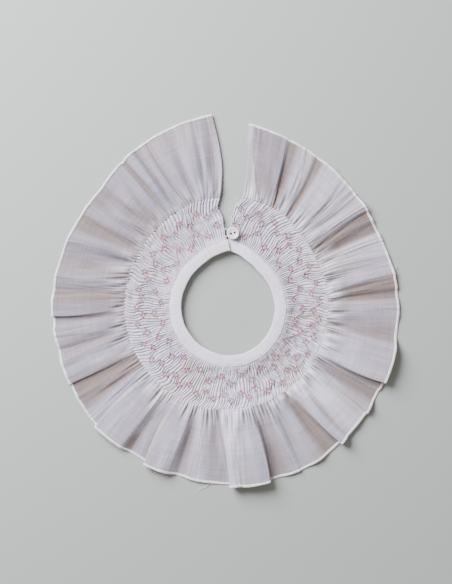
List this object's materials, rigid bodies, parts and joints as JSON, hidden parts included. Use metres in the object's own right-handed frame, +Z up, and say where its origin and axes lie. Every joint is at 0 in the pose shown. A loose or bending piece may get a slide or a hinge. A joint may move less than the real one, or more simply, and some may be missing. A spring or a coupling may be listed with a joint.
{
  "type": "smocked ruffle collar",
  "caption": "Detachable smocked cotton collar laid flat, with a narrow neck band, pleated yoke, wide ruffle, button and thread loop.",
  "frame": {"origin": "middle of the collar's box, on the surface that it lies on", "axes": "+Z up, away from the surface; +Y towards the opening at the back of the neck; +X to the right, seen from above"},
  "size_m": [0.3264, 0.3498, 0.0116],
  "materials": {
    "band_voile": "white cotton voile, double, plain weave",
    "smocked_voile": "white cotton voile, finely pleated, smocked in pink and mauve thread",
    "ruffle_voile": "white semi-sheer cotton voile, plain weave, soft creases",
    "thread": "off-white twisted cotton sewing thread",
    "shell": "cream mother-of-pearl, polished"
  },
  "bodies": {
    "root": {"neck_band": "band_voile", "smocked_yoke": "smocked_voile", "ruffle": "ruffle_voile", "button": "shell", "button_shank": "thread", "button_loop": "thread"}
  },
  "joints": []
}
